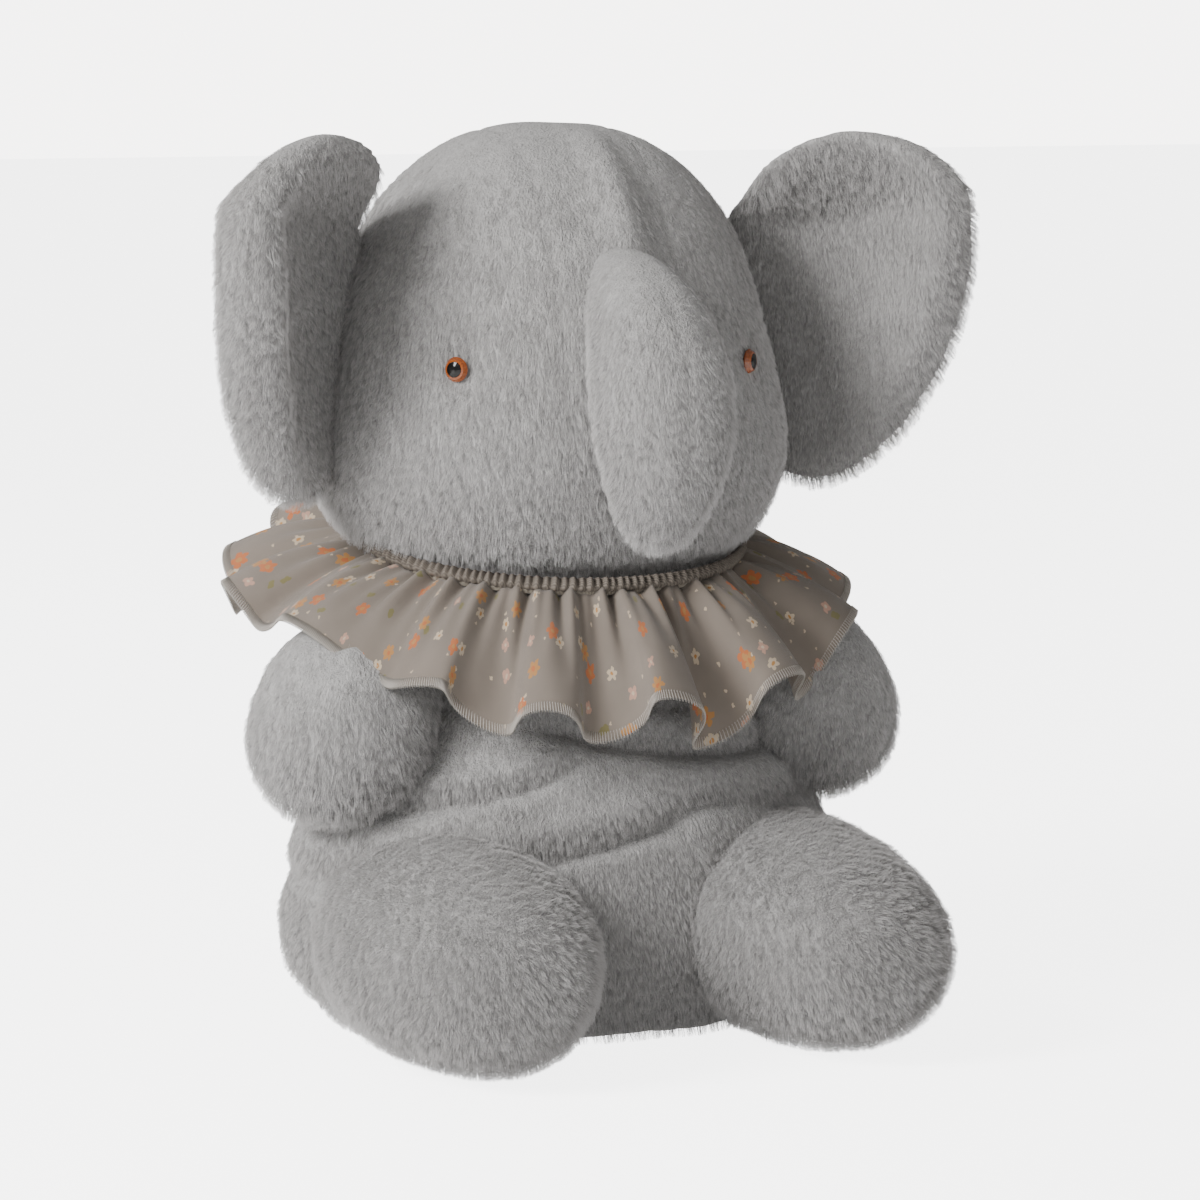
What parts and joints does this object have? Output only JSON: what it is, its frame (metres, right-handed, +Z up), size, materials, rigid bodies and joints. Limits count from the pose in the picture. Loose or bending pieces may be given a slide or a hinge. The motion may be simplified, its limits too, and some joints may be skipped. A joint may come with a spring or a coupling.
{
  "type": "stuffed elephant",
  "caption": "Seated plush elephant with big cupped ears, a hanging trunk, soft limbs and a gathered cotton collar.",
  "frame": {"origin": "on the ground under the middle of the seat, on the toy's middle plane", "axes": "+Z up, the toy faces -Y, +X is the toy's own left side"},
  "size_m": [0.3696, 0.3752, 0.438],
  "materials": {
    "plush_pile": "short dense plush pile, soft sheen, combed downwards",
    "plush_under": "the same plush pressed flat by the seat",
    "polyester_fibre": "matt white polyester fibre",
    "pellet_bag_cotton": "plain matt cotton",
    "printed_cotton": "plain weave cotton with a small scattered flower print",
    "elastic_braid": "braided elastic in its gathered heading",
    "amber_plastic": "polished translucent amber",
    "black_plastic": "polished black",
    "natural_plastic": "plain moulded plastic"
  },
  "bodies": {
    "torso": {"body_front_panel": "plush_pile", "body_back_panel": "plush_pile", "body_seat_panel": "plush_under", "body_stuffing": "polyester_fibre", "pellet_bag": "pellet_bag_cotton"},
    "neck": {"neck_stuffing": "polyester_fibre"},
    "head": {"head_side_panel_left": "plush_pile", "head_side_panel_right": "plush_pile", "head_centre_gusset": "plush_pile", "head_stuffing": "polyester_fibre", "eye_iris_left": "amber_plastic", "eye_core_left": "black_plastic", "eye_washer_left": "natural_plastic", "eye_iris_right": "amber_plastic", "eye_core_right": "black_plastic", "eye_washer_right": "natural_plastic"},
    "trunk": {"trunk_panel_left": "plush_pile", "trunk_panel_right": "plush_pile", "trunk_stuffing": "polyester_fibre"},
    "tail": {"tail_cover": "plush_pile", "tail_stuffing": "polyester_fibre"},
    "collar": {"collar_frill": "printed_cotton", "collar_elastic": "elastic_braid"},
    "ear_left": {"ear_front_panel_left": "plush_pile", "ear_back_panel_left": "plush_pile", "ear_wadding_left": "polyester_fibre"},
    "arm_left": {"arm_outer_panel_left": "plush_pile", "arm_inner_panel_left": "plush_pile", "arm_stuffing_left": "polyester_fibre"},
    "leg_left": {"leg_upper_panel_left": "plush_pile", "leg_under_panel_left": "plush_pile", "leg_stuffing_left": "polyester_fibre"},
    "ear_right": {"ear_front_panel_right": "plush_pile", "ear_back_panel_right": "plush_pile", "ear_wadding_right": "polyester_fibre"},
    "arm_right": {"arm_outer_panel_right": "plush_pile", "arm_inner_panel_right": "plush_pile", "arm_stuffing_right": "polyester_fibre"},
    "leg_right": {"leg_upper_panel_right": "plush_pile", "leg_under_panel_right": "plush_pile", "leg_stuffing_right": "polyester_fibre"}
  },
  "joints": [
    {"name": "head_turn", "type": "hinge", "parent": "torso", "child": "neck", "pos_m": [0, 0.004, 0.2185], "axis": [0, 0, 1], "range_deg": [-20, 20], "stiffness_Nm_per_rad": 0.3},
    {"name": "head_nod", "type": "hinge", "parent": "neck", "child": "head", "pos_m": [0, 0.004, 0.2185], "axis": [1, 0, 0], "range_deg": [-3, 3], "stiffness_Nm_per_rad": 2.5},
    {"name": "trunk_lift", "type": "hinge", "parent": "head", "child": "trunk", "pos_m": [0, -0.116, 0.345], "axis": [-1, 0, 0], "range_deg": [-5, 22], "stiffness_Nm_per_rad": 0.15},
    {"name": "tail_wag", "type": "hinge", "parent": "torso", "child": "tail", "pos_m": [0, 0.078, 0.07], "axis": [0, 0, 1], "range_deg": [-25, 25], "stiffness_Nm_per_rad": 0.01},
    {"name": "collar_turn", "type": "hinge", "parent": "torso", "child": "collar", "pos_m": [0, 0, 0.229], "axis": [0, -0.1392, 0.9903], "range_deg": [-15, 15]},
    {"name": "ear_flap_left", "type": "hinge", "parent": "head", "child": "ear_left", "pos_m": [0.098, 0.012, 0.345], "axis": [0, 0, -1], "range_deg": [-16, 16], "stiffness_Nm_per_rad": 0.08},
    {"name": "arm_swing_left", "type": "hinge", "parent": "torso", "child": "arm_left", "pos_m": [0.104, -0.024, 0.178], "axis": [-1, 0, 0], "range_deg": [-20, 20], "stiffness_Nm_per_rad": 0.25},
    {"name": "leg_lift_left", "type": "hinge", "parent": "torso", "child": "leg_left", "pos_m": [0.084, -0.052, 0.054], "axis": [-1, 0, 0], "range_deg": [-4, 8], "stiffness_Nm_per_rad": 3},
    {"name": "ear_flap_right", "type": "hinge", "parent": "head", "child": "ear_right", "pos_m": [-0.098, 0.012, 0.345], "axis": [0, 0, 1], "range_deg": [-16, 16], "stiffness_Nm_per_rad": 0.08},
    {"name": "arm_swing_right", "type": "hinge", "parent": "torso", "child": "arm_right", "pos_m": [-0.104, -0.024, 0.178], "axis": [-1, 0, 0], "range_deg": [-20, 20], "stiffness_Nm_per_rad": 0.25},
    {"name": "leg_lift_right", "type": "hinge", "parent": "torso", "child": "leg_right", "pos_m": [-0.084, -0.052, 0.054], "axis": [-1, 0, 0], "range_deg": [-4, 8], "stiffness_Nm_per_rad": 3}
  ]
}
